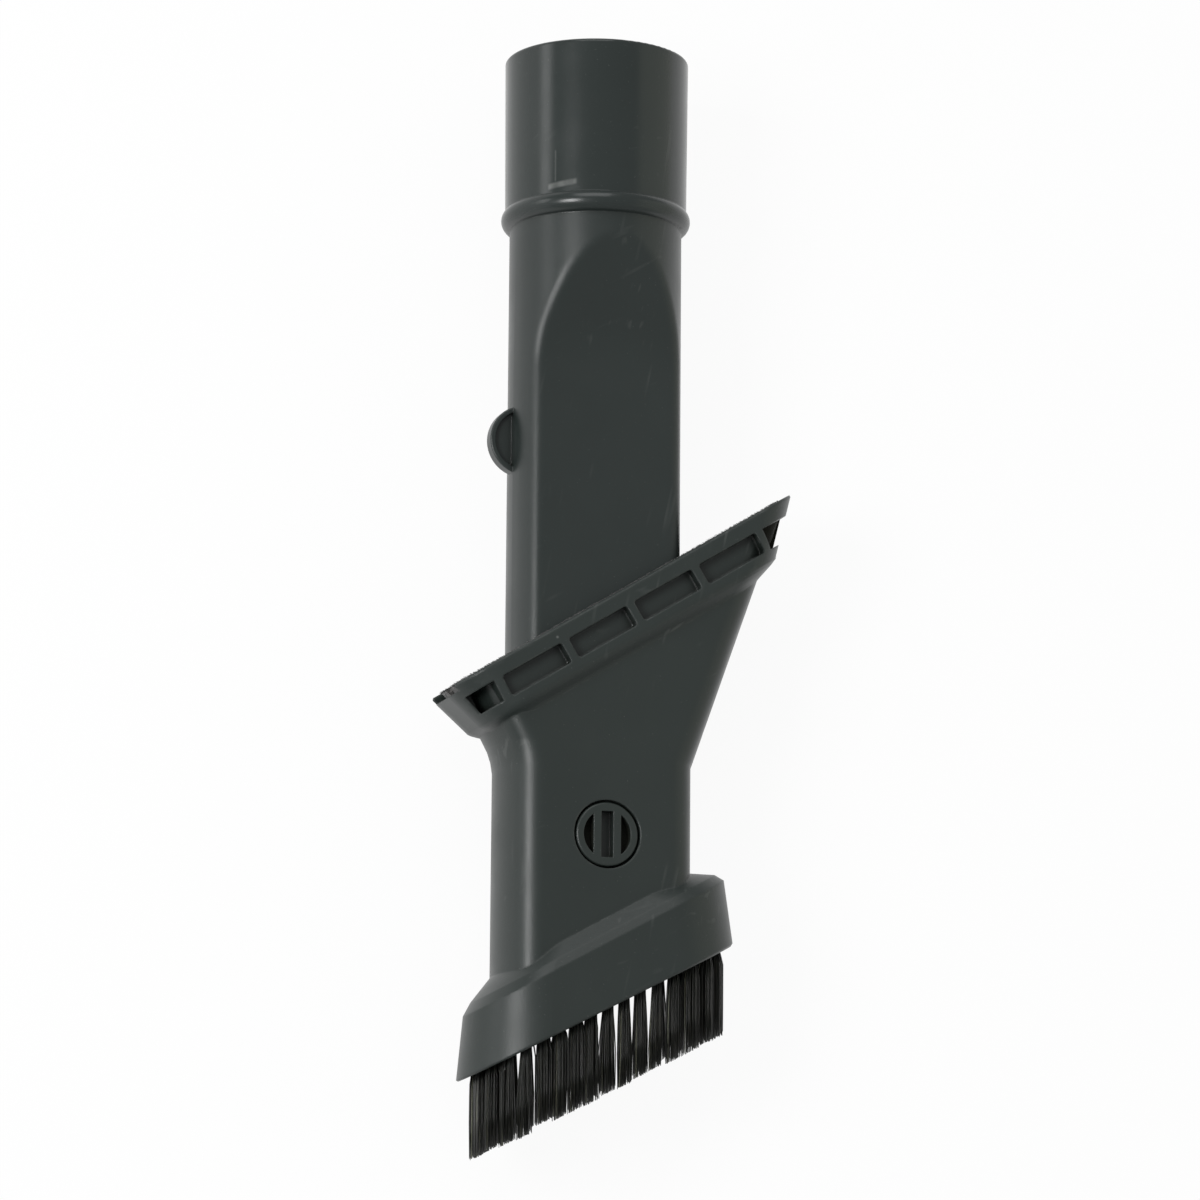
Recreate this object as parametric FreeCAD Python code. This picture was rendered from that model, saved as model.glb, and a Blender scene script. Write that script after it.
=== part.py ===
import FreeCAD, Part
import math
import os

# The tool lies on its back. Y runs along the tube and comes out of the hose
# socket, X is the long side of every section, and Z points out of the front face.
# The origin is the centre of the socket's open end. Lengths are in millimetres
# and angles in degrees. A distance is measured down the tube from that end.

# Hose socket
hose_bore_radius = 16.0
hose_bore_depth = 30.0
socket_wall = 2.05
socket_taper = 0.25
socket_edge_round = 0.7
bead_distance = 32.8
bead_section_radius = 2.3
bead_height = 0.76

# Tube below the socket
tube_step = 0.95
tube_wall = 2.0
tube_half_thickness = 8.9
tube_edge_round = 2.0
ramp_distance = 39.2
ramp_angle = 21.4
ramp_blend_radius = 24.0
tube_tip_setback = 9.4

# Lug on the left edge of the tube
lug_distance = 78.7
lug_centre_depth = 2.5
lug_radius = 7.0
lug_thickness = 3.0
lug_rim = 1.0
lug_pocket_depth = 0.9
lug_edge_round = 0.35

# Head that slips over the tube
head_wall = 1.95
head_clearance = 0.35
head_edge_round = 5.0
sleeve_bore_round = 1.0

# Upholstery mouth: a slanted rim round the top of the head
mouth_distance = 110.95
mouth_slant = 31.8
mouth_left = 36.85
mouth_right = 46.3
rim_height = 9.0
rim_left_inset = 2.8
rim_right_inset = 9.2
rim_half_depth = 13.5
rim_corner_radius = 10.0
rim_lip_chamfer = 0.4
rim_wall = 2.4
rim_tray_depth = 2.0
rim_blend_drop = 3.6
rim_blend_left = 2.4
rim_blend_right = 7.7
rim_blend_sink = 0.15
rim_blend_steps = 6

# Flares from the sleeve up to the mouth
right_flare_drop = 32.05
right_flare_angle = 19.5
left_flare_drop = 33.45
left_flare_angle = 28.0
left_flare_bends = 3
left_flare_bend_rise = 2.2

# Windows in the rim
window_top = 3.2
window_height = 4.3
window_length = 13.8
window_pitch = 15.5
window_start = 27.95
window_count = 4
window_back = 2.6
window_corner_round = 0.6
left_window_outer = 34.8
left_window_inset = 1.2
right_end_recess = 0.3
end_notch_depth = 1.5
end_notch_half_width = 8.0

# Thread lifter strips on the ledge inside the rim's lip
strip_width = 1.8
strip_below_lip = 0.15
strip_end_gap = 3.0

# Skirt that carries the bristles
skirt_slant = 27.8
shoulder_slant = 29.2
skirt_bottom_distance = 191.8
skirt_height = 13.9
shoulder_height = 4.1
shoulder_sink = 0.1
skirt_bottom_half_depth = 14.4
skirt_crease_half_depth = 13.6
skirt_bottom_left = 26.1
skirt_bottom_right = 28.5
skirt_crease_left = 24.8
skirt_crease_right = 26.5
skirt_crease_soften = 1.0
skirt_bottom_chamfer = 0.4
brush_mouth_left = 20.3
brush_mouth_right = 23.3

# Bristle tufts
tuft_length = 16.65
tuft_root_depth = 4.0
tuft_root_radius = 1.05
tuft_hole_clearance = 0.05
tuft_ring_offset = 1.65
tuft_pitch = 3.24
tuft_row_phase = 0.54
tufts_before_phase = 4
tufts_after_phase = 4
tufts_round_end = 8
tuft_gap = 0.08
tuft_flare_length = 7.5
tuft_sides = 8

# Latch button
latch_above_skirt = 34.1
latch_button_radius = 6.25
latch_guide_clearance = 0.3
latch_head_clearance = 0.45
latch_flange_width = 1.35
latch_flange_thickness = 1.1
latch_flange_clearance = 0.3
latch_edge_round = 0.45
latch_slot_width = 2.4
latch_slot_length = 9.0
latch_pocket_start = 2.75
latch_pocket_radius = 4.75
latch_pocket_depth = 2.4

# Latch spring and the two studs that hold it
spring_width = 6.0
spring_thickness = 0.4
spring_gap = 0.1
spring_foot_length = 9.0
spring_foot_start = 13.5
spring_reach = 6.0
spring_stud_spacing = 4.6
spring_stud_radius = 0.9
spring_stud_head_radius = 1.5
spring_stud_head_height = 0.5
spring_stud_clearance = 0.05

# Sizes that follow from the ones above
socket_radius = hose_bore_radius + socket_wall
tube_radius = socket_radius - tube_step
tube_tip_distance = skirt_bottom_distance - tube_tip_setback
latch_distance = skirt_bottom_distance - latch_above_skirt
right_flare_distance = mouth_distance + right_flare_drop
left_flare_distance = mouth_distance + left_flare_drop
skirt_crease_distance = skirt_bottom_distance - skirt_height
shoulder_distance = skirt_crease_distance - shoulder_height
inner_radius = tube_radius - tube_wall
inner_half_thickness = tube_half_thickness - tube_wall
sleeve_bore_radius = tube_radius + head_clearance
sleeve_bore_half_thickness = tube_half_thickness + head_clearance
head_radius = sleeve_bore_radius + head_wall
head_half_thickness = sleeve_bore_half_thickness + head_wall
overlap = 1.0
far = 400.0


def vec(x, y, z):
    return FreeCAD.Vector(x, y, z)


def edge(start, end):
    return Part.makeLine(start, end)


def arc(start, middle, end):
    return Part.Arc(start, middle, end).toShape()


def face_from(edges):
    return Part.Face(Part.Wire(edges))


def polygon(points):
    return Part.Face(Part.makePolygon(points + [points[0]]))


def slanted(shape, distance, slant):
    """Carry a shape from a slanted end's own axes to the part's axes."""
    turn = FreeCAD.Rotation(vec(0, 0, 1), slant)
    placed = shape.copy()
    placed.Placement = FreeCAD.Placement(vec(0, -distance, 0), turn)
    return placed


def block(x_low, x_high, y_low, y_high, z_low, z_high):
    corner = vec(x_low, y_low, z_low)
    return Part.makeBox(x_high - x_low, y_high - y_low, z_high - z_low, corner)


def beyond(distance, slant):
    """Everything past a slanted plane, on the side away from the socket."""
    return slanted(block(-far, far, -far, 0, -far, far), distance, slant)


def before(distance, slant):
    """Everything on the socket's side of a slanted plane."""
    return slanted(block(-far, far, 0, far, -far, far), distance, slant)


def mirrored(shape):
    """The same form on the rear side."""
    return shape.mirror(vec(0, 0, 0), vec(0, 0, 1))


def flat_round(radius, half_thickness, y, corner=0.0):
    """Section of the tube and sleeve: a circle with a flat front and back."""
    middle_z = half_thickness - corner
    middle_x = math.sqrt((radius - corner) ** 2 - middle_z ** 2)
    reach = radius / (radius - corner)
    side = vec(middle_x * reach, y, middle_z * reach)
    tilt = (math.pi / 2 + math.atan2(middle_z, middle_x)) / 2
    bend = vec(middle_x + corner * math.cos(tilt), y, middle_z + corner * math.sin(tilt))
    top = vec(middle_x, y, half_thickness)

    def at(point, x_sign, z_sign):
        return vec(point.x * x_sign, y, point.z * z_sign)

    edges = []
    for sign in (1, -1):
        edges.append(arc(at(side, sign, 1), vec(sign * radius, y, 0), at(side, sign, -1)))
        edges.append(edge(at(top, 1, sign), at(top, -1, sign)))
        if corner > 0:
            edges.append(arc(at(side, sign, 1), at(bend, sign, 1), at(top, sign, 1)))
            edges.append(arc(at(side, sign, -1), at(bend, sign, -1), at(top, sign, -1)))
    return Part.Face(Part.Wire(Part.__sortEdges__(edges)))


def rounded_wire(left, right, half_depth, corner, y):
    """Rounded rectangle across a plane of constant Y."""
    middle = half_depth - corner
    bend = corner * math.sqrt(0.5)
    edges = []
    for side, reach in ((1, right), (-1, left)):
        centre = side * (reach - corner)
        edges.append(arc(
            vec(centre, y, half_depth),
            vec(centre + side * bend, y, middle + bend),
            vec(side * reach, y, middle)))
        edges.append(edge(vec(side * reach, y, middle), vec(side * reach, y, -middle)))
        edges.append(arc(
            vec(side * reach, y, -middle),
            vec(centre + side * bend, y, -middle - bend),
            vec(centre, y, -half_depth)))
    edges.append(edge(vec(right - corner, y, half_depth), vec(corner - left, y, half_depth)))
    edges.append(edge(vec(right - corner, y, -half_depth), vec(corner - left, y, -half_depth)))
    return Part.Wire(Part.__sortEdges__(edges))


def slanted_stadium(left, right, half_depth, distance, slant):
    """Stadium seen along Y, laid on a slanted plane."""
    rise = math.tan(math.radians(slant))
    along = vec(1, rise, 0).normalize()

    def at(x, z):
        return vec(x, x * rise - distance, z)

    edges = []
    for side, reach in ((1, right), (-1, left)):
        centre = side * (reach - half_depth)
        long_axis = half_depth / math.cos(math.radians(slant))
        end = at(centre, 0) + along * (side * long_axis)
        ellipse = Part.Ellipse(end, at(centre, half_depth), at(centre, 0))
        start = ellipse.parameter(at(centre, half_depth))
        stop = ellipse.parameter(at(centre, -half_depth))
        if start > math.pi:
            start, stop = stop, start
        edges.append(Part.ArcOfEllipse(ellipse, -start, start).toShape())
    front = (at(half_depth - left, half_depth), at(right - half_depth, half_depth))
    rear = (at(half_depth - left, -half_depth), at(right - half_depth, -half_depth))
    edges.append(edge(*front))
    edges.append(edge(*rear))
    return Part.Wire(Part.__sortEdges__(edges))


def keep_largest(shape):
    """One clean solid, with coplanar faces joined."""
    solids = sorted(shape.Solids, key=lambda solid: solid.Volume)
    return solids[-1].removeSplitter()


def flat_cutter(offset):
    """What the ramp and the flat take off the front, offset into the wall."""
    angle = math.radians(ramp_angle)
    flat = tube_half_thickness - offset
    blend = ramp_blend_radius + offset
    start_z = tube_radius - offset / math.cos(angle)
    corner_y = -ramp_distance - (start_z - flat) / math.tan(angle)
    tangent = blend * math.tan(angle / 2)
    top_y = -ramp_distance + tube_radius
    top_z = start_z + tube_radius * math.tan(angle)
    ramp_end = vec(0, corner_y + tangent * math.cos(angle), flat + tangent * math.sin(angle))
    flat_start = vec(0, corner_y - tangent, flat)
    centre = vec(0, flat_start.y, flat + blend)
    middle = centre + vec(0, math.sin(angle / 2), -math.cos(angle / 2)) * blend
    outline = face_from([
        edge(vec(0, top_y, top_z), ramp_end),
        arc(ramp_end, middle, flat_start),
        edge(flat_start, vec(0, -far, flat)),
        edge(vec(0, -far, flat), vec(0, -far, far)),
        edge(vec(0, -far, far), vec(0, top_y, far)),
        edge(vec(0, top_y, far), vec(0, top_y, top_z)),
    ])
    outline.translate(vec(-far, 0, 0))
    return outline.extrude(vec(2 * far, 0, 0))


def tube_outside():
    """Socket, bead and tube turned about Y, then cut to the ramps and flats."""
    crest = socket_radius + bead_height
    bead_centre = crest - bead_section_radius
    upper = math.sqrt(bead_section_radius ** 2 - (socket_radius - bead_centre) ** 2)
    lower = math.sqrt(bead_section_radius ** 2 - (tube_radius - bead_centre) ** 2)
    bend = socket_edge_round * (1 - math.sqrt(0.5))
    length = tube_tip_distance + 2 * tube_radius
    mouth = socket_radius + socket_taper
    outline = face_from([
        edge(vec(0, 0, 0), vec(mouth - socket_edge_round, 0, 0)),
        arc(vec(mouth - socket_edge_round, 0, 0),
            vec(mouth - bend, -bend, 0),
            vec(mouth, -socket_edge_round, 0)),
        edge(vec(mouth, -socket_edge_round, 0),
             vec(socket_radius, upper - bead_distance, 0)),
        arc(vec(socket_radius, upper - bead_distance, 0),
            vec(crest, -bead_distance, 0),
            vec(tube_radius, -lower - bead_distance, 0)),
        edge(vec(tube_radius, -lower - bead_distance, 0), vec(tube_radius, -length, 0)),
        edge(vec(tube_radius, -length, 0), vec(0, -length, 0)),
        edge(vec(0, -length, 0), vec(0, 0, 0)),
    ])
    turned = outline.revolve(vec(0, 0, 0), vec(0, 1, 0), 360)
    cutter = flat_cutter(0)
    body = turned.cut(cutter).cut(mirrored(cutter))
    ridges = []
    for candidate in body.Edges:
        points = candidate.discretize(5)
        on_side = all(abs(math.hypot(p.x, p.z) - tube_radius) < 0.01 for p in points)
        spans = max(p.y for p in points) - min(p.y for p in points)
        if on_side and spans > 0.5 and abs(points[2].z) > 1:
            ridges.append(candidate)
    return body.makeFillet(tube_edge_round, ridges)


def tube_inside():
    """Hose bore, then the air passage that keeps an even wall."""
    bore = Part.makeCylinder(hose_bore_radius, hose_bore_depth, vec(0, 0, 0), vec(0, -1, 0))
    passage = Part.makeCylinder(inner_radius, far, vec(0, 0, 0), vec(0, -1, 0))
    cutter = flat_cutter(tube_wall)
    passage = passage.cut(cutter).cut(mirrored(cutter))
    return bore.fuse(passage)


def lug():
    """Half-round thumb lug with a raised rim round a shallow pocket on each face."""
    centre = vec(lug_centre_depth - tube_radius, -lug_distance, -lug_thickness / 2)
    disc = Part.makeCylinder(lug_radius, lug_thickness, centre, vec(0, 0, 1))
    disc = disc.cut(block(centre.x, far, -far, far, -far, far))
    rim_edges = [e for e in disc.Edges if isinstance(e.Curve, Part.Circle)]
    disc = disc.makeFillet(lug_edge_round, rim_edges)
    floor = lug_thickness / 2 - lug_pocket_depth
    pocket = Part.makeCylinder(
        lug_radius - lug_rim, lug_pocket_depth, vec(centre.x, centre.y, floor), vec(0, 0, 1))
    return disc.cut(pocket).cut(mirrored(pocket))


def spring_studs():
    """Two studs on the tube's inner wall, spread over the spring's foot."""
    studs = []
    foot_middle = latch_distance + spring_foot_start + spring_foot_length / 2
    neck_low = inner_half_thickness - spring_thickness
    for side in (-1, 1):
        y = -foot_middle + side * spring_stud_spacing / 2
        neck = Part.makeCylinder(
            spring_stud_radius, spring_thickness + tube_wall / 2, vec(0, y, neck_low), vec(0, 0, 1))
        head = Part.makeCylinder(
            spring_stud_head_radius, spring_stud_head_height,
            vec(0, y, neck_low - spring_stud_head_height), vec(0, 0, 1))
        head = head.makeFillet(spring_stud_head_height * 0.6, [head.Edges[2]])
        studs.append(neck.fuse(head))
    return studs


def crevice_tube():
    body = tube_outside().cut(beyond(tube_tip_distance, skirt_slant))
    body = body.fuse(lug()).cut(tube_inside())
    guide = Part.makeCylinder(
        latch_button_radius + latch_guide_clearance, far, vec(0, -latch_distance, 0), vec(0, 0, 1))
    body = body.cut(guide)
    for stud in spring_studs():
        body = body.fuse(stud)
    return keep_largest(body)


def sleeve_and_flares(radius, half_thickness, corner, bottom):
    """Sleeve with the left and right flares, up to inside the rim."""
    section = flat_round(radius, half_thickness, 0, corner)

    def swept(distance, angle, x, lift):
        start = section.copy()
        start.translate(vec(x, -distance, 0))
        return start.extrude(vec(lift * math.tan(math.radians(angle)), lift, 0))

    lift = far / 2
    body = swept(bottom, 0, 0, lift)
    body = body.fuse(swept(right_flare_distance, right_flare_angle, 0, lift))
    shift = 0.0
    distance = left_flare_distance
    for bend in range(1, left_flare_bends + 1):
        angle = left_flare_angle * bend / left_flare_bends
        last = bend == left_flare_bends
        body = body.fuse(swept(distance, -angle, shift, lift if last else left_flare_bend_rise + overlap))
        shift -= left_flare_bend_rise * math.tan(math.radians(angle))
        distance -= left_flare_bend_rise
    return body


def rim_outline(inset, y):
    """Outline of the slanted rim at one level, in the rim's own axes."""
    left = mouth_left + rim_left_inset * y / rim_height
    right = mouth_right + rim_right_inset * y / rim_height
    return rounded_wire(
        left - inset, right - inset, rim_half_depth - inset, rim_corner_radius - inset, y)


def rim(inset, top, low):
    return Part.makeLoft([rim_outline(inset, top), rim_outline(inset, low)], True, True)


def rim_and_blend():
    """Rim with a chamfered lip, and the S-curve that carries it into the head's faces."""
    wires = [
        rim_outline(2 * rim_lip_chamfer, rim_lip_chamfer),
        rim_outline(0, -rim_lip_chamfer),
        rim_outline(0, -rim_height),
    ]
    step = rim_half_depth - head_half_thickness + rim_blend_sink
    for index in range(1, rim_blend_steps + 1):
        share = index / rim_blend_steps
        turn = (1 - math.cos(math.pi * share)) / 2
        wires.append(rounded_wire(
            mouth_left - rim_left_inset - rim_blend_left * turn,
            mouth_right - rim_right_inset - rim_blend_right * turn,
            rim_half_depth - step * turn,
            rim_corner_radius - step * turn,
            -rim_height - rim_blend_drop * share))
    return Part.makeLoft(wires, True, True)


def rim_with_windows():
    """Rim between an upper and a lower flange, with ribs between its windows."""
    top = -window_top
    low = top - window_height
    outside = rim_half_depth + overlap
    body = rim_and_blend()
    forms = []
    for index in range(window_count):
        left = index * window_pitch - window_start
        slot = block(left, left + window_length, low, top, window_back, outside)
        sides = [e for e in slot.Edges if abs(e.tangentAt(e.FirstParameter).z) > 0.9]
        forms.append(slot.makeFillet(window_corner_round, sides))
    rib = window_pitch - window_length
    inner = -window_start - rib
    left_corner = polygon([
        vec(-left_window_outer, top, window_back),
        vec(inner, top, window_back),
        vec(inner, low, window_back),
        vec(left_window_inset - left_window_outer, low, window_back),
    ])
    start = window_count * window_pitch - window_start
    right_corner = polygon([
        vec(start, top, window_back),
        vec(mouth_right + overlap, top, window_back),
        vec(mouth_right + overlap, low, window_back),
        vec(start, low, window_back),
    ])
    for outline in (left_corner, right_corner):
        forms.append(outline.extrude(vec(0, 0, outside - window_back)))
    for form in forms:
        body = body.cut(form).cut(mirrored(form))
    lean = rim_right_inset / rim_height
    end = mouth_right - right_end_recess
    recess = polygon([
        vec(end + lean * top, top, -far),
        vec(end + far, top, -far),
        vec(end + far, low, -far),
        vec(end + lean * low, low, -far),
    ])
    return body.cut(recess.extrude(vec(0, 0, 2 * far)))


def thread_lifter():
    """Pile strip bonded on the ledge inside the front lip, round both corners."""
    strip = rim(rim_wall, -strip_below_lip, -rim_tray_depth)
    strip = strip.cut(rim(rim_wall + strip_width, overlap, -rim_tray_depth - overlap))
    strip = strip.common(block(-far, far, -far, far, strip_end_gap / 2, far))
    return keep_largest(slanted(strip, mouth_distance, mouth_slant))


def between(first, second, share):
    return [a + (b - a) * share for a, b in zip(first, second)]


def skirt():
    """Shoulder and skirt, lofted through slanted stadiums, with a softened crease."""
    top = (head_radius - shoulder_sink, head_radius - shoulder_sink,
           head_half_thickness - shoulder_sink, shoulder_distance, shoulder_slant)
    crease = (skirt_crease_left, skirt_crease_right, skirt_crease_half_depth,
              skirt_crease_distance, shoulder_slant)
    bottom = (skirt_bottom_left, skirt_bottom_right, skirt_bottom_half_depth,
              skirt_bottom_distance, skirt_slant)
    cut_in = skirt_bottom_chamfer
    rim_of_bottom = (skirt_bottom_left - cut_in, skirt_bottom_right - cut_in,
                     skirt_bottom_half_depth - cut_in, skirt_bottom_distance, skirt_slant)
    sections = (
        top,
        between(crease, top, skirt_crease_soften / shoulder_height),
        between(crease, bottom, skirt_crease_soften / skirt_height),
        between(bottom, crease, skirt_bottom_chamfer / skirt_height),
        rim_of_bottom,
    )
    return Part.makeLoft([slanted_stadium(*section) for section in sections], True, True)


def brush_mouth():
    """Opening inside the ring of bristles, up to under the shoulder."""
    lid = skirt_crease_distance + head_wall
    wires = []
    for distance, slant in ((lid, shoulder_slant), (skirt_bottom_distance + overlap, skirt_slant)):
        wires.append(slanted_stadium(
            brush_mouth_left, brush_mouth_right, sleeve_bore_half_thickness, distance, slant))
    return Part.makeLoft(wires, True, True)


def tuft_stations():
    """Place of each tuft round the brush mouth, and the way its outside faces."""
    half_depth = sleeve_bore_half_thickness + tuft_ring_offset
    row = [tuft_row_phase + tuft_pitch * index
           for index in range(-tufts_before_phase, tufts_after_phase + 1)]
    right_reach = brush_mouth_right + tuft_ring_offset - row[-1]
    left_reach = brush_mouth_left + tuft_ring_offset + row[0]
    step = 180.0 / (tufts_round_end + 1)
    stations = [(x, half_depth, 90.0) for x in row]
    for index in range(1, tufts_round_end + 1):
        facing = 90.0 - step * index
        turn = math.radians(facing)
        stations.append((
            row[-1] + right_reach * math.cos(turn), half_depth * math.sin(turn), facing))
    stations += [(x, -half_depth, -90.0) for x in reversed(row)]
    for index in range(1, tufts_round_end + 1):
        facing = -90.0 - step * index
        turn = math.radians(facing)
        stations.append((
            row[0] + left_reach * math.cos(turn), half_depth * math.sin(turn), facing))
    return stations


def tuft(x, z, facing):
    """Bundle of filaments: a round root in its hole, fanning out to the tip."""
    rise = math.tan(math.radians(skirt_slant))
    base = x * rise - skirt_bottom_distance
    half_angle = math.pi / tuft_sides
    fan_radius = (tuft_pitch - tuft_gap) / 2 / math.cos(half_angle)
    rings = []
    for radius, y in (
            (tuft_root_radius, base + tuft_root_depth),
            (tuft_root_radius, base),
            (fan_radius, base - tuft_flare_length),
            (fan_radius, None)):
        ring = []
        for side in range(tuft_sides):
            turn = math.radians(facing) + half_angle * (2 * side + 1)
            corner_x = x + radius * math.cos(turn)
            tip_y = corner_x * rise - skirt_bottom_distance - tuft_length
            ring.append(vec(
                corner_x, tip_y if y is None else y, z + radius * math.sin(turn)))
        rings.append(ring)
    faces = [polygon(rings[0]), polygon(rings[-1])]
    for upper, lower in zip(rings, rings[1:]):
        for side in range(tuft_sides):
            after = (side + 1) % tuft_sides
            faces.append(polygon([upper[side], upper[after], lower[after], lower[side]]))
    return Part.Solid(Part.Shell(faces))


def tuft_holes(stations):
    holes = []
    rise = math.tan(math.radians(skirt_slant))
    radius = tuft_root_radius + tuft_hole_clearance
    for x, z, _ in stations:
        top = x * rise - skirt_bottom_distance + tuft_root_depth
        holes.append(Part.makeCylinder(radius, 3 * tuft_root_depth, vec(x, top, z), vec(0, -1, 0)))
    return Part.makeCompound(holes)


def head_shell(stations):
    bottom = skirt_bottom_distance + far / 4
    outside = sleeve_and_flares(head_radius, head_half_thickness, head_edge_round, bottom)
    outside = outside.cut(beyond(skirt_bottom_distance - overlap, skirt_slant))
    outside = outside.fuse(skirt())
    outside = outside.fuse(slanted(rim_with_windows(), mouth_distance, mouth_slant))
    outside = outside.cut(before(mouth_distance, mouth_slant))
    inside = sleeve_and_flares(
        sleeve_bore_radius, sleeve_bore_half_thickness, sleeve_bore_round, bottom)
    inside = inside.fuse(brush_mouth())
    shell = outside.cut(inside)
    tray = rim(rim_wall, overlap, -rim_tray_depth)
    notch = block(
        -mouth_left - overlap, rim_corner_radius - mouth_left, -end_notch_depth, overlap,
        -end_notch_half_width, end_notch_half_width)
    for form in (tray, notch):
        shell = shell.cut(slanted(form, mouth_distance, mouth_slant))
    latch_hole = Part.makeCylinder(
        latch_button_radius + latch_head_clearance, far, vec(0, -latch_distance, 0), vec(0, 0, 1))
    shell = shell.cut(latch_hole).cut(tuft_holes(stations))
    return keep_largest(shell)


def latch_button():
    """Round button with a retaining flange, one slot and two D-shaped pockets."""
    flange_top = inner_half_thickness - latch_flange_clearance
    flange_low = flange_top - latch_flange_thickness
    centre_y = -latch_distance
    cap = Part.makeCylinder(
        latch_button_radius, head_half_thickness - flange_low, vec(0, centre_y, flange_low),
        vec(0, 0, 1))
    top_edges = [e for e in cap.Edges
                 if isinstance(e.Curve, Part.Circle) and e.CenterOfMass.z > flange_top]
    cap = cap.makeFillet(latch_edge_round, top_edges)
    flange = Part.makeCylinder(
        latch_button_radius + latch_flange_width, latch_flange_thickness,
        vec(0, centre_y, flange_low), vec(0, 0, 1))
    body = cap.fuse(flange)
    floor = head_half_thickness - latch_pocket_depth
    slot = block(
        -latch_slot_width / 2, latch_slot_width / 2,
        centre_y - latch_slot_length / 2, centre_y + latch_slot_length / 2, floor, far)
    disc = Part.makeCylinder(latch_pocket_radius, far, vec(0, centre_y, floor), vec(0, 0, 1))
    band = block(-latch_pocket_start, latch_pocket_start, -far, far, -far, far)
    pockets = disc.cut(band)
    return keep_largest(body.cut(slot).cut(pockets))


def latch_spring():
    """Bent leaf: a foot staked to the tube's wall, and an arm under the flange."""
    foot_top = inner_half_thickness
    arm_top = (inner_half_thickness - latch_flange_clearance - latch_flange_thickness
               - spring_gap)
    near = -latch_distance - spring_foot_start
    arm_start = -latch_distance - latch_button_radius - latch_flange_width
    arm_end = -latch_distance + spring_reach
    thick = spring_thickness
    outline = polygon([
        vec(0, near - spring_foot_length, foot_top),
        vec(0, near, foot_top),
        vec(0, arm_start, arm_top),
        vec(0, arm_end, arm_top),
        vec(0, arm_end, arm_top - thick),
        vec(0, arm_start, arm_top - thick),
        vec(0, near, foot_top - thick),
        vec(0, near - spring_foot_length, foot_top - thick),
    ])
    outline.translate(vec(-spring_width / 2, 0, 0))
    leaf = outline.extrude(vec(spring_width, 0, 0))
    foot_middle = near - spring_foot_length / 2
    for side in (-1, 1):
        y = foot_middle + side * spring_stud_spacing / 2
        leaf = leaf.cut(Part.makeCylinder(
            spring_stud_radius + spring_stud_clearance, far, vec(0, y, 0), vec(0, 0, 1)))
    return keep_largest(leaf)


def write(name, shape):
    assert shape.isValid(), name
    shape.exportStep(os.path.join("parts", name + ".step"))


os.makedirs("parts", exist_ok=True)
tufts = tuft_stations()
write("crevice_tube", crevice_tube())
write("head_shell", head_shell(tufts))
write("latch_button", latch_button())
write("latch_spring", latch_spring())
front_strip = thread_lifter()
write("thread_lifter_front", front_strip)
write("thread_lifter_rear", mirrored(front_strip))
for number, (tuft_x, tuft_z, tuft_facing) in enumerate(tufts, start=1):
    write("bristle_tuft_%02d" % number, tuft(tuft_x, tuft_z, tuft_facing))
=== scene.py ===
import math
import random

import bpy
from mathutils import Matrix, Vector


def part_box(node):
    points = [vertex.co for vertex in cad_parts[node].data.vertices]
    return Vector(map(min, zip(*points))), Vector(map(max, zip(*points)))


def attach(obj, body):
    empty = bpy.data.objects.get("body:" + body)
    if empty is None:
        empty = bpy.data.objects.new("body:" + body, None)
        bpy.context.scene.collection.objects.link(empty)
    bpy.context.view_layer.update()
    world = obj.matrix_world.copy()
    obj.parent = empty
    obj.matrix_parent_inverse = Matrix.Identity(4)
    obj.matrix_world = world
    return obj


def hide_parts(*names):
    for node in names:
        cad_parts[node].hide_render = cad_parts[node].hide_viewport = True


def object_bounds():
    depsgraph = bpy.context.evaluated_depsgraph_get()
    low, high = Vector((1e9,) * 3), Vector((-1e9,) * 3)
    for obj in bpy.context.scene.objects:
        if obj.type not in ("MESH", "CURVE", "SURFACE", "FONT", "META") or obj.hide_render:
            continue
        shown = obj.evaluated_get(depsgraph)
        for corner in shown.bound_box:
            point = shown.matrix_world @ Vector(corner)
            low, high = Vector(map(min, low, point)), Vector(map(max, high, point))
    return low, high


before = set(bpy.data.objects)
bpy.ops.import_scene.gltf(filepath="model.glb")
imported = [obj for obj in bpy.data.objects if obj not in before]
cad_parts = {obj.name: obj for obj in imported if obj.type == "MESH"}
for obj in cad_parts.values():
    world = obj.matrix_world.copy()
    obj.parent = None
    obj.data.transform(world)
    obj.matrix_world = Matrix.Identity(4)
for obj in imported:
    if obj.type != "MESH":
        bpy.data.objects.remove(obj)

# The part's frame: Y points out of the hose socket, X to the upper end of the slanted mouth
# and Z out of the front face with the button. Lengths are in metres.

box_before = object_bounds()
MM = 0.001
ROOT = "tool"
NO_TURN = (0, 0, 0)
NO_STRETCH = (1, 1, 1)

# Painted reflection, a thin pale streak and polish on the socket: turns in degrees round the tube,
# places along it
POLISH_FROM = -36 * MM
POLISH_FADE = 4 * MM
POLISH = 0.14
REFLECTION_TURNS = (-47, -30)
REFLECTION_PLACE = (-30.1 * MM, -29.5 * MM)
REFLECTION_RISE = 2.2 * MM
REFLECTION_PALE = 0.9
STREAK_TURNS = (-43.1, -42.9)
STREAK_PLACE = (-28.6 * MM, -22.8 * MM)
STREAK_PALE = 0.4

# Soft ridges beside the tube's flats, and along the sleeve's corners, whose place is
# measured from the lip of the upholstery mouth
RIDGE_REACH = 16.3 * MM
RIDGE_FROM = -38 * MM
RIDGE_FADE = 3 * MM
RIDGE_SOFTNESS = 2.2 * MM
CORNER_FROM = 10 * MM
CORNER_FADE = 1 * MM
CORNER_SOFTNESS = 2.0 * MM
SLEEVE_PLACE = (-50 * MM, -17 * MM)
SLEEVE_FADE = 2 * MM
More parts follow.
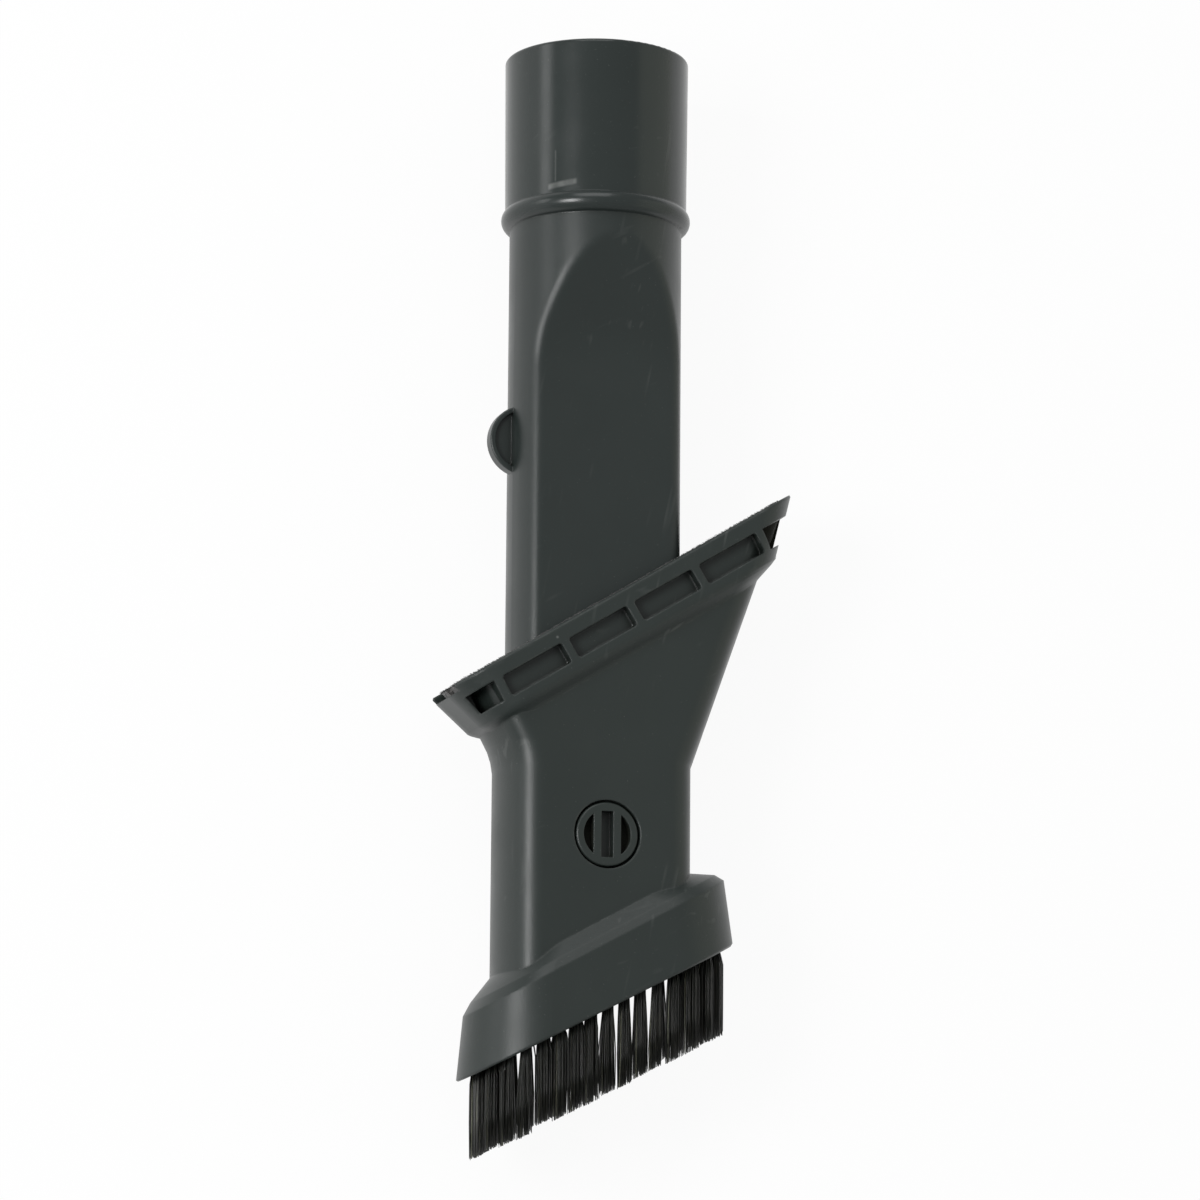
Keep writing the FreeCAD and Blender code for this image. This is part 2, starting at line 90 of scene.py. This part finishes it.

# Upholstery mouth: nicks in its lip, as spots in millimetres, and the recess behind its
# right end window, darkened with painted shade, measured from the middle of the lip
STRIP_BELOW_LIP = 0.15 * MM
NICKS = ((-24.7, -126.9, 13.5), (-11.1, -120.1, 13.5), (-8.7, -124.7, 13.5))
NICK_CORE = 0.15 * MM
NICK_REACH = 0.35 * MM
NICK_PALE = 0.6
END_WINDOW_FROM = 34.1 * MM
END_WINDOW_FADE = 0.2 * MM
END_WINDOW_PLACE = (-7.4 * MM, -3.3 * MM)

# Painted shade: brown in the recess behind the right end window and in the grip pockets,
# near-black in every corner
HOLLOW_SHADE_BROWN = (0.0085, 0.0090, 0.0060)
CORNER_SHADE = (0.003, 0.004, 0.0025)
CORNER_SHADE_REACH = 2.5 * MM

# Grip pockets: how far out they start, and between which depths below the button's top
# they turn dull and darken with painted shade
POCKET_FROM = 2.2 * MM
POCKET_FADE = 0.2 * MM
POCKET_TOP = 0.5 * MM
POCKET_DEEP = 0.8 * MM
POCKET_SHADE_AND_DULLNESS = 0.8


# Node trees


class Nodes:
    """Short way to build one material's node tree."""

    def __init__(self, name):
        self.material = bpy.data.materials.new(name)
        self.material.use_nodes = True
        self.tree = self.material.node_tree
        self.tree.nodes.clear()
        self.output = self.add("ShaderNodeOutputMaterial")

    def add(self, kind, **settings):
        node = self.tree.nodes.new(kind)
        for name, value in settings.items():
            setattr(node, name, value)
        return node

    def link(self, source, target):
        self.tree.links.new(source, target)

    def feed(self, value, socket):
        """Set a socket to a number or colour, or link it to another node's output."""
        if isinstance(value, tuple):
            socket.default_value = (*value, 1)
        elif isinstance(value, (int, float)):
            socket.default_value = value
        else:
            self.link(value, socket)

    def shader(self, **inputs):
        node = self.add("ShaderNodeBsdfPrincipled")
        for name, value in inputs.items():
            node.inputs[name.replace("_", " ")].default_value = value
        self.link(node.outputs["BSDF"], self.output.inputs["Surface"])
        return node

    def place(self, scale=NO_STRETCH, turn=NO_TURN):
        """Object position, turned and then stretched, so that detail sticks to the piece."""
        where = self.add("ShaderNodeTexCoord")
        turned = self.add("ShaderNodeMapping")
        turned.inputs["Rotation"].default_value = turn
        stretch = self.add("ShaderNodeMapping")
        stretch.inputs["Scale"].default_value = scale
        self.link(where.outputs["Object"], turned.inputs["Vector"])
        self.link(turned.outputs["Vector"], stretch.inputs["Vector"])
        return stretch.outputs["Vector"]

    def axes(self, turn=NO_TURN):
        """Object position as three values."""
        split = self.add("ShaderNodeSeparateXYZ")
        self.link(self.place(turn=turn), split.inputs["Vector"])
        return split.outputs

    def noise(self, scale, detail=4, rough=0.55, stretch=NO_STRETCH, turn=NO_TURN):
        node = self.add("ShaderNodeTexNoise")
        node.inputs["Scale"].default_value = scale
        node.inputs["Detail"].default_value = detail
        node.inputs["Roughness"].default_value = rough
        self.link(self.place(stretch, turn), node.inputs["Vector"])
        return node.outputs["Fac"]

    def spread(self, value, low, high, to_low=0, to_high=1):
        """Map low..high to to_low..to_high, and hold the ends."""
        node = self.add("ShaderNodeMapRange")
        for name, number in (("From Min", low), ("From Max", high),
                             ("To Min", to_low), ("To Max", to_high)):
            node.inputs[name].default_value = number
        self.link(value, node.inputs["Value"])
        return node.outputs["Result"]

    def mix(self, factor, first, second):
        """Blend two colours, which are inputs 6 and 7 of the node, and its output 2."""
        node = self.add("ShaderNodeMix", data_type="RGBA")
        self.link(factor, node.inputs[0])
        self.feed(first, node.inputs[6])
        self.feed(second, node.inputs[7])
        return node.outputs[2]

    def maths(self, operation, *values):
        """One operation over two or more values in turn, or on a single value."""
        total, *others = values
        for other in others or [0]:
            node = self.add("ShaderNodeMath", operation=operation)
            self.feed(total, node.inputs[0])
            self.feed(other, node.inputs[1])
            total = node.outputs["Value"]
        return total

    def pairwise(self, operation, first, second, output):
        """Vector operation on two outputs, or on an output and a fixed place."""
        node = self.add("ShaderNodeVectorMath", operation=operation)
        self.link(first, node.inputs[0])
        if isinstance(second, tuple):
            node.inputs[1].default_value = second
        else:
            self.link(second, node.inputs[1])
        return node.outputs[output]

    def inside(self, value, limits, fade):
        """1 where a value lies between two limits, fading out past them."""
        low, high = limits
        return self.maths("MULTIPLY", self.spread(value, low - fade, low),
                          self.spread(value, high, high + fade, 1, 0))

    def bump(self, height, distance, strength, normal=None):
        node = self.add("ShaderNodeBump")
        node.inputs["Distance"].default_value = distance
        node.inputs["Strength"].default_value = strength
        self.link(height, node.inputs["Height"])
        if normal is not None:
            self.link(normal, node.inputs["Normal"])
        return node.outputs["Normal"]


# The strips' flat faces, which also tell where the slanted mouth is


FACING_OUT = 0.8


def strip_surface(node):
    """Flat faces of a strip that look out of the upholstery mouth, with their areas."""
    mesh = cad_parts[node].data
    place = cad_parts[node].matrix_world
    slope = place.to_3x3()
    mesh.calc_loop_triangles()
    found = []
    for triangle in mesh.loop_triangles:
        normal = (slope @ triangle.normal).normalized()
        if normal.y > FACING_OUT:
            corners = [place @ mesh.vertices[i].co for i in triangle.vertices]
            found.append((corners, normal, triangle.area))
    return found


corners, outward, _ = strip_surface("thread_lifter_front")[0]
MOUTH_SLANT = math.atan2(-outward.x, outward.y)
LIP_Y = outward.dot(corners[0]) + STRIP_BELOW_LIP
LIP_X = LIP_Y * math.tan(MOUTH_SLANT)


# Details of single pieces
# Each says where the piece is softer at its edges, pale (on the socket partly a painted
# reflection), polished, or darkened with painted shade and dull.


def pale_patch(n, turns, limits, rise=0, fade=0.03):
    """Pale patch on the round socket, between two turns and two places along it."""
    where = n.axes()
    start, stop = (math.radians(turn) for turn in turns)
    turn = n.maths("ARCTAN2", where["X"], where["Z"])
    across = n.inside(turn, (start, stop), fade)
    risen = n.maths("MULTIPLY", n.maths("SUBTRACT", turn, start), rise)
    level = n.maths("SUBTRACT", where["Y"], risen)
    patchy = n.spread(n.noise(500, detail=1), 0.3, 0.6, 0.6, 1)
    return n.maths("MULTIPLY", across, n.inside(level, limits, 0.45 * MM), patchy)


def nick(n, place_mm):
    """Small pale dent at one spot."""
    spot = tuple(value * MM for value in place_mm)
    reach = n.pairwise("DISTANCE", n.place(), spot, "Value")
    return n.spread(reach, NICK_CORE, NICK_REACH, NICK_PALE, 0)


def tube_details(n, edge):
    """Broad soft ridges beside the flats, and a polished socket with a painted reflection and a thin
    pale streak on it.
    """
    where = n.axes()
    within = n.maths("LESS_THAN", n.maths("ABSOLUTE", where["X"]), RIDGE_REACH)
    below = n.spread(where["Y"], RIDGE_FROM, RIDGE_FROM - RIDGE_FADE)
    # Painted reflection: a pale patch on the socket.
    painted_reflection = pale_patch(n, REFLECTION_TURNS, REFLECTION_PLACE, rise=REFLECTION_RISE)
    streak = pale_patch(n, STREAK_TURNS, STREAK_PLACE, fade=0.012)
    return {
        "softness": n.spread(n.maths("MULTIPLY", within, below), 0, 1, edge, RIDGE_SOFTNESS),
        "pale": n.maths("MAXIMUM", n.maths("MULTIPLY", painted_reflection, REFLECTION_PALE),
                        n.maths("MULTIPLY", streak, STREAK_PALE)),
        "polish": n.spread(where["Y"], POLISH_FROM, POLISH_FROM + POLISH_FADE, 0, POLISH),
    }


def head_details(n, edge):
    """Nicks in the lip, the sleeve's soft corners, and painted shade in the recess behind the right
    end window.
    """
    slanted = n.axes((0, 0, -MOUTH_SLANT))
    window = END_WINDOW_FROM + LIP_X
    right = n.spread(slanted["X"], window, window + END_WINDOW_FADE)
    between = n.inside(slanted["Y"], [LIP_Y + y for y in END_WINDOW_PLACE], END_WINDOW_FADE / 2)
    sleeve = n.inside(slanted["Y"], [LIP_Y + y for y in SLEEVE_PLACE], SLEEVE_FADE)
    aside = n.spread(n.maths("ABSOLUTE", n.axes()["X"]), CORNER_FROM, CORNER_FROM + CORNER_FADE)
    return {
        "softness": n.spread(n.maths("MULTIPLY", sleeve, aside), 0, 1, edge, CORNER_SOFTNESS),
        "pale": n.maths("MAXIMUM", *[nick(n, place_mm) for place_mm in NICKS]),
        # Painted shade in the recess behind the right end window.
        "hollow_shade": n.maths("MULTIPLY", right, between),
    }


def button_details(n, edge):
    """Grip pockets on both sides of the slot, dull and darkened with painted shade."""
    top = max(corner[2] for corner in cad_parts["latch_button"].bound_box)
    where = n.axes()
    aside = n.spread(n.maths("ABSOLUTE", where["X"]), POCKET_FROM, POCKET_FROM + POCKET_FADE)
    sunk = n.spread(where["Z"], top - POCKET_TOP, top - POCKET_DEEP)
    # Painted shade deep in the grip pockets, together with dullness.
    return {"softness": edge, "pale": 0, "hollow_shade": n.maths("MULTIPLY", aside, sunk, POCKET_SHADE_AND_DULLNESS)}


# Materials


def scratches(n, turn, scale, low, high):
    """Thin marks: a noise drawn out one way and cut to its peaks, patchy over the part."""
    streak = n.noise(scale, detail=1, rough=0.3, stretch=(1, 0.05, 1), turn=turn)
    patch = n.noise(60, detail=2)
    return n.maths("MULTIPLY", n.spread(streak, low, high), n.spread(patch, 0.52, 0.66))


def worn_edge(n, rounded):
    """Patchy wear where the rounded surface turns away from the flat one."""
    sharp = n.add("ShaderNodeNewGeometry").outputs["True Normal"]
    agree = n.pairwise("DOT_PRODUCT", rounded, sharp, "Value")
    patchy = n.spread(n.noise(420, detail=3), 0.5, 0.68, 0.05, 0.75)
    return n.maths("MULTIPLY", n.spread(agree, 0.99, 0.86), patchy, 0.5)


def plastic_colour(n, colour):
    """Faint marbling, with painted shade darkening every corner."""
    marble = n.spread(n.noise(28, detail=5), 0.35, 0.7)
    tint = n.mix(marble, colour, tuple(c * 1.12 for c in colour))
    # Painted shade: ambient occlusion darkens the colour towards near-black in corners and recesses.
    corner = n.add("ShaderNodeAmbientOcclusion", samples=4, only_local=True)
    corner.inputs["Distance"].default_value = CORNER_SHADE_REACH
    return n.mix(n.spread(corner.outputs["AO"], 0.35, 0.85, 0.75, 0), tint, CORNER_SHADE)


def moulded_plastic(name, details, colour, pale, rough, grain, scuffs, edge):
    """Dark moulded plastic: fine texture, marbling, scuffs, dust, worn soft edges, and painted shade
    in corners and recesses.
    """
    n = Nodes(name)
    shader = n.shader(IOR=1.46)
    extra = details(n, edge)
    soft = n.add("ShaderNodeBevel", samples=6)
    n.feed(extra["softness"], soft.inputs["Radius"])
    rounded = soft.outputs["Normal"]

    marks = n.maths("MAXIMUM", scratches(n, (0, 0, 0.2), 800, 0.66, 0.74),
                    scratches(n, (0.3, 0.4, 1.2), 650, 0.68, 0.76))
    marks = n.maths("MULTIPLY", marks, scuffs)
    dust = n.spread(n.noise(2600, detail=1), 0.74, 0.8, 0, 0.35)
    # The pale marks hold scratches, dust, wear and nicks, and on the socket a painted reflection.
    light = n.maths("MAXIMUM", marks, dust, worn_edge(n, rounded), extra["pale"])
    tint = n.mix(light, plastic_colour(n, colour), pale)
    cloudy = n.spread(n.noise(75, detail=3), 0.3, 0.7, rough - 0.03, rough + 0.04)
    cloudy = n.maths("ADD", cloudy, n.maths("MULTIPLY", marks, 0.15))
    if "polish" in extra:
        cloudy = n.maths("SUBTRACT", cloudy, extra["polish"])
    # Painted shade in the end window's recess and the grip pockets: browner colour, together with
    # more roughness and less specular.
    if "hollow_shade" in extra:
        tint = n.mix(extra["hollow_shade"], tint, HOLLOW_SHADE_BROWN)
        cloudy = n.maths("ADD", cloudy, n.maths("MULTIPLY", extra["hollow_shade"], 0.5))
        n.link(n.spread(extra["hollow_shade"], 0, 1, 0.5, 0.1), shader.inputs["Specular IOR Level"])
    n.link(tint, shader.inputs["Base Color"])
    n.link(cloudy, shader.inputs["Roughness"])

    ripple = n.noise(70, detail=1, stretch=(1, 0.3, 1))
    texture = n.noise(3200, detail=2, rough=0.6)
    rippled = n.bump(ripple, 0.2 * MM, 0.15, rounded)
    n.link(n.bump(texture, 0.04 * MM, grain, rippled), shader.inputs["Normal"])
    return n.material


def filament_nylon():
    """Near-black nylon bristle: most filaments dark, a few paler as painted glints, with dusty
    stretches.
    """
    n = Nodes("filament nylon")
    shader = n.shader(IOR=1.53, Specular_IOR_Level=0.35)
    one = n.add("ShaderNodeNewGeometry").outputs["Random Per Island"]
    # The pale filaments are painted glints; the rest stay near-black.
    tint = n.mix(n.spread(one, 0.66, 0.96), (0.0050, 0.0058, 0.0036), (0.24, 0.245, 0.18))
    along = n.noise(900, detail=2, stretch=(1, 0.25, 1))
    tint = n.mix(n.spread(along, 0.55, 0.8, 0, 0.35), tint, (0.07, 0.066, 0.05))
    n.link(tint, shader.inputs["Base Color"])
    n.link(n.spread(one, 0, 1, 0.24, 0.45), shader.inputs["Roughness"])
    return n.material


def pile_fabric():
    """Short slanted pile with lint and paler fibres in it."""
    n = Nodes("lifter pile")
    shader = n.shader(Roughness=0.9, Sheen_Weight=0.25)
    one = n.add("ShaderNodeNewGeometry").outputs["Random Per Island"]
    tint = n.mix(one, (0.010, 0.010, 0.010), (0.045, 0.043, 0.04))
    fleck = n.spread(n.noise(1500, detail=2), 0.56, 0.66)
    n.link(n.mix(fleck, tint, (0.11, 0.105, 0.1)), shader.inputs["Base Color"])
    n.link(n.bump(n.noise(2400, detail=2), 0.2 * MM, 0.8), shader.inputs["Normal"])
    return n.material


def spring_steel():
    """Bright rolled steel with a fine grain along the leaf."""
    n = Nodes("spring steel")
    shader = n.shader(Metallic=1.0)
    grain = n.noise(1800, detail=3, stretch=(1, 0.05, 1))
    n.link(n.mix(grain, (0.42, 0.42, 0.41), (0.62, 0.62, 0.6)), shader.inputs["Base Color"])
    n.link(n.spread(grain, 0.3, 0.7, 0.22, 0.4), shader.inputs["Roughness"])
    n.link(n.bump(grain, 0.03 * MM, 0.4), shader.inputs["Normal"])
    return n.material


def floor_white():
    """Pale floor that the camera sees as white, with the tool's soft shadow kept."""
    n = Nodes("pale floor")
    plain = n.add("ShaderNodeBsdfDiffuse")
    speck = n.spread(n.noise(60, detail=3), 0.3, 0.7)
    n.link(n.mix(speck, (0.80, 0.80, 0.80), (0.82, 0.82, 0.82)), plain.inputs["Color"])
    glow = n.add("ShaderNodeEmission")
    glow.inputs["Strength"].default_value = 1.0
    path = n.add("ShaderNodeLightPath").outputs
    seen = n.maths("MAXIMUM", path["Is Camera Ray"], path["Is Glossy Ray"],
                   path["Is Transmission Ray"])
    blend = n.add("ShaderNodeMixShader")
    n.link(n.maths("MULTIPLY", seen, 0.93), blend.inputs["Fac"])
    n.link(plain.outputs["BSDF"], blend.inputs[1])
    n.link(glow.outputs["Emission"], blend.inputs[2])
    n.link(blend.outputs["Shader"], n.output.inputs["Surface"])
    return n.material


def dress(node, material):
    """Give a solid its material in place of the plain one."""
    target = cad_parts[node]
    target.data.materials.clear()
    target.data.materials.append(material)


TUBE = moulded_plastic("tube plastic", tube_details, colour=(0.0148, 0.0198, 0.0185),
                       pale=(0.11, 0.115, 0.11), rough=0.34, grain=0.3, scuffs=0.13, edge=0.3 * MM)
HEAD = moulded_plastic("head plastic", head_details, colour=(0.0150, 0.0202, 0.0184),
                       pale=(0.12, 0.125, 0.12), rough=0.38, grain=0.45, scuffs=0.22, edge=0.6 * MM)
BUTTON = moulded_plastic("button plastic", button_details, colour=(0.0155, 0.0208, 0.0186),
                         pale=(0.12, 0.125, 0.12), rough=0.36, grain=0.45, scuffs=0.45,
                         edge=0.3 * MM)
NYLON = filament_nylon()
PILE = pile_fabric()
STEEL = spring_steel()

dress("crevice_tube", TUBE)
dress("head_shell", HEAD)
dress("latch_button", BUTTON)
dress("latch_spring", STEEL)
dress("thread_lifter_front", PILE)
dress("thread_lifter_rear", PILE)


# Fibres

FIBRE_SIDES = 3
TIP_SHARE = 0.62


def fibre(path, radius, vertices, faces):
    """Closed thin tube through a short path, thinner at its tip."""
    start = len(vertices)
    last = len(path) - 1
    for index, point in enumerate(path):
        before = path[max(index - 1, 0)]
        after = path[min(index + 1, last)]
        along = (after - before).normalized()
        across = along.orthogonal().normalized()
        other = along.cross(across)
        thick = radius * (TIP_SHARE if index == last else 1.0)
        for side in range(FIBRE_SIDES):
            turn = 2 * math.pi * side / FIBRE_SIDES
            vertices.append(point + (across * math.cos(turn) + other * math.sin(turn)) * thick)
    for index in range(last):
        ring = start + index * FIBRE_SIDES
        upper = ring + FIBRE_SIDES
        for side in range(FIBRE_SIDES):
            after = (side + 1) % FIBRE_SIDES
            faces.append((ring + side, ring + after, upper + after, upper + side))
    tip = start + last * FIBRE_SIDES
    faces.append(tuple(start + side for side in reversed(range(FIBRE_SIDES))))
    faces.append(tuple(tip + side for side in range(FIBRE_SIDES)))


def add_to_scene(name, data):
    """New object for a mesh, camera or lamp."""
    thing = bpy.data.objects.new(name, data)
    bpy.context.scene.collection.objects.link(thing)
    return thing


def make_piece(name, vertices, faces, material):
    """Mesh of fibres that belongs to the tool's body."""
    mesh = bpy.data.meshes.new(name)
    mesh.from_pydata(vertices, [], faces)
    mesh.validate()
    mesh.shade_smooth()
    mesh.materials.append(material)
    piece = add_to_scene(name, mesh)
    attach(piece, ROOT)
    return piece


# Bristle tufts
# VIEW_LEAN turns a tuft's depth into a shift sideways, to tell where it stands in the row as
# the photo shows it. In the row's crowded stretches the filaments fan out close to the skirt,
# and elsewhere they leave long gaps.

TUFT_SEED = 7919
FILAMENTS = 64
FILAMENT_RADIUS = 0.12 * MM
ROOT_DEPTH = 4.0 * MM
ROOT_RADIUS = 0.92 * MM
SUNK = ROOT_DEPTH * 0.3
GOLDEN_TURN = 2.39996
FAN_POWER = 0.9
PATH_SHARES = (0.0, 0.08, 0.2, 0.36, 0.62, 1.0)
VIEW_LEAN = 0.29
CROWDED = ((-50 * MM, -17.0 * MM), (-11.0 * MM, 1.3 * MM), (16.5 * MM, 50 * MM))
CROWDED_FAN = 0.4 * MM
CROWDED_WIDTH = 1.06
OPEN_FAN = 12.0 * MM
OPEN_WIDTH = 0.97
STRAY_SHARE = 0.06
STRAY = 0.30 * MM
STRAIGHT = 0.11 * MM


def middle_of(node):
    """Middle of a solid's box."""
    low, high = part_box(node)
    return [(a + b) / 2 for a, b in zip(low, high)]


tufts = sorted(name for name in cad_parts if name.startswith("bristle_tuft_"))
leftmost = min(tufts, key=lambda node: middle_of(node)[0])
rightmost = max(tufts, key=lambda node: middle_of(node)[0])
SKIRT_RISE = ((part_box(rightmost)[1][1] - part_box(leftmost)[1][1])
              / (middle_of(rightmost)[0] - middle_of(leftmost)[0]))


class Tuft:
    """Filaments packed in one hole, fanning out, with ragged tips."""

    def __init__(self, node, number):
        low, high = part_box(node)
        self.chance = random.Random(number * TUFT_SEED)
        self.x, _, self.z = middle_of(node)
        self.half = (high[0] - low[0]) / 2
        self.base = high[1] - ROOT_DEPTH
        self.reach_down = self.base - low[1] - self.half * SKIRT_RISE
        self.seen_at = self.x + VIEW_LEAN * self.z
        self.fan = self.chance.uniform(0.8, 1.15)
        self.lean_x = self.chance.gauss(0, 0.16) * MM
        self.lean_z = self.chance.gauss(0, 0.12) * MM
        self.trim = abs(self.chance.gauss(0, 0.4)) * MM

    def filament(self, index):
        """Path of one filament, from inside its hole to its tip."""
        chance = self.chance
        reach = math.sqrt((index + 0.5) / FILAMENTS)
        turn = index * GOLDEN_TURN + chance.uniform(-0.3, 0.3)
        side = math.cos(turn) * reach
        depth = math.sin(turn) * reach
        seen_at = self.seen_at + side * self.half
        crowded = any(first < seen_at < last for first, last in CROWDED)
        fan = (CROWDED_FAN if crowded else OPEN_FAN) * self.fan
        width = self.half * (CROWDED_WIDTH if crowded else OPEN_WIDTH) * chance.uniform(0.8, 1.02)
        stray = STRAY if chance.random() < STRAY_SHARE else STRAIGHT
        tip_x = side * width + self.lean_x + chance.gauss(0, stray)
        tip_z = depth * width + self.lean_z + chance.gauss(0, 0.1) * MM
        tip_z = max(-self.half, min(self.half, tip_z))
        bow = chance.gauss(0, 0.09) * MM
        length = SUNK + self.reach_down - self.trim - abs(chance.gauss(0, 0.42)) * MM
        root_x = side * ROOT_RADIUS
        root_z = depth * ROOT_RADIUS
        path = []
        for share in PATH_SHARES:
            down = length * share - SUNK
            out = 0.0 if down < 0 else min(1.0, down / fan) ** FAN_POWER
            aside = root_x + (tip_x - root_x) * out + bow * math.sin(math.pi * share)
            y = self.base - down + aside * SKIRT_RISE * share
            path.append(Vector((self.x + aside, y, self.z + root_z + (tip_z - root_z) * out)))
        return path


for number, node in enumerate(tufts, start=1):
    tuft = Tuft(node, number)
    vertices, faces = [], []
    for index in range(FILAMENTS):
        path = tuft.filament(index)
        fibre(path, FILAMENT_RADIUS * tuft.chance.uniform(0.8, 1.15), vertices, faces)
    piece = make_piece("filaments_" + node[-2:], vertices, faces, NYLON)
    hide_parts(node)


# Pile on the lifter strips

PILE_FIBRES = 1700
PILE_LENGTH = 0.75 * MM
PILE_RADIUS = 0.045 * MM
PILE_SUNK = 0.1 * MM
PILE_BOW = 0.08 * MM
PILE_RISE = 0.45
PILE_SEED = 104729


def pile_fibre(chance, corners, normal):
    """Path of one fibre from a random spot of a triangle, leaning along the strip."""
    nap = Vector((0, 0, 1)).cross(normal).normalized()
    a, b = sorted((chance.random(), chance.random()))
    root = corners[0] * a + corners[1] * (b - a) + corners[2] * (1 - b)
    lean = nap * chance.uniform(0.3, 0.7)
    lean += Vector((chance.gauss(0, 0.15), chance.gauss(0, 0.1), chance.gauss(0, 0.25)))
    tip = root + (normal * PILE_RISE + lean) * PILE_LENGTH * chance.uniform(0.6, 1.1)
    return [root - normal * PILE_SUNK, (root + tip) / 2 + normal * PILE_BOW, tip]


def strip_pile(node, name, seed):
    """Short fibres that all lean the same way, as on a lint brush."""
    chance = random.Random(seed)
    surface = strip_surface(node)
    total = sum(area for _, _, area in surface)
    vertices, faces = [], []
    for corners, normal, area in surface:
        wanted = PILE_FIBRES * area / total
        count = int(wanted) + (1 if chance.random() < wanted % 1 else 0)
        for _ in range(count):
            fibre(pile_fibre(chance, corners, normal), PILE_RADIUS, vertices, faces)
    make_piece(name, vertices, faces, PILE)


strip_pile("thread_lifter_front", "pile_front", 10 * PILE_SEED)
strip_pile("thread_lifter_rear", "pile_rear_side", 14 * PILE_SEED)


# Floor, camera and light

FLOOR_GAP = 0.2 * MM
FLOOR_REACH = 2.5
CAMERA_PLACE = (-0.31902, -0.33137, 1.05448)
CAMERA_TARGET = (0.00154, -0.10939, 0.0)
CAMERA_ROLL = 0.0078
CAMERA_LENS = 171.52
TOOL_MIDDLE = (0.0, -0.11, 0.0)
ROOM_COLOUR = (0.97, 0.99, 1.0, 1)
ROOM_STRENGTH = 0.49


def look(place, target, roll=0.0):
    """Turn for something at a place that looks at its target."""
    back = (Vector(place) - Vector(target)).normalized()
    right = Vector((0, 1, 0)).cross(back).normalized()
    up = back.cross(right)
    turned_right = right * math.cos(roll) + up * math.sin(roll)
    turned_up = up * math.cos(roll) - right * math.sin(roll)
    turn = Matrix((turned_right, turned_up, back)).transposed().to_4x4()
    return Matrix.Translation(Vector(place)) @ turn


def add_floor():
    """Wide square just below the tool, which lies on its back."""
    level = box_before[0][2] - FLOOR_GAP
    corners = [(x * FLOOR_REACH, y * FLOOR_REACH, level)
               for x, y in ((-1, -1), (1, -1), (1, 1), (-1, 1))]
    mesh = bpy.data.meshes.new("floor")
    mesh.from_pydata(corners, [], [(0, 1, 2, 3)])
    mesh.materials.append(floor_white())
    floor = add_to_scene("floor", mesh)


def add_camera():
    """Camera with the place, roll and lens that were fitted to the photo."""
    data = bpy.data.cameras.new("camera")
    data.sensor_width = 36.0
    data.lens = CAMERA_LENS
    camera = add_to_scene("camera", data)
    camera.matrix_world = look(CAMERA_PLACE, CAMERA_TARGET, CAMERA_ROLL)
    bpy.context.scene.camera = camera


def add_lamp(name, place, size, power, colour=(1, 1, 1)):
    """Square-cornered soft lamp aimed at the middle of the tool."""
    data = bpy.data.lights.new(name, "AREA")
    data.shape = "RECTANGLE"
    data.size, data.size_y = size
    data.energy = power
    data.color = colour
    add_to_scene(name, data).matrix_world = look(place, TOOL_MIDDLE)


def add_world():
    """Even pale light from all round; the white behind the tool is the floor's."""
    world = bpy.data.worlds.new("studio")
    world.use_nodes = True
    tree = world.node_tree
    tree.nodes.clear()
    room = tree.nodes.new("ShaderNodeBackground")
    room.inputs["Color"].default_value = ROOM_COLOUR
    room.inputs["Strength"].default_value = ROOM_STRENGTH
    output = tree.nodes.new("ShaderNodeOutputWorld")
    tree.links.new(room.outputs["Background"], output.inputs["Surface"])
    bpy.context.scene.world = world


add_floor()
add_camera()
add_world()
add_lamp("key", (-0.80, -0.12, 0.74), (0.34, 0.45), 7.6)
add_lamp("socket_side", (-1.05, 0.27, 0.13), (0.26, 0.5), 0.8)
add_lamp("left_softbox", (-1.0, -0.1, 0.12), (0.2, 1.3), 0.5)
add_lamp("right_softbox", (0.80, -0.1, 0.36), (0.9, 1.2), 1.15, (0.98, 1.0, 0.80))
add_lamp("back_fill", (-0.3, 0.9, 0.8), (0.8, 0.8), 4.2)
bpy.context.scene.view_settings.view_transform = "Standard"
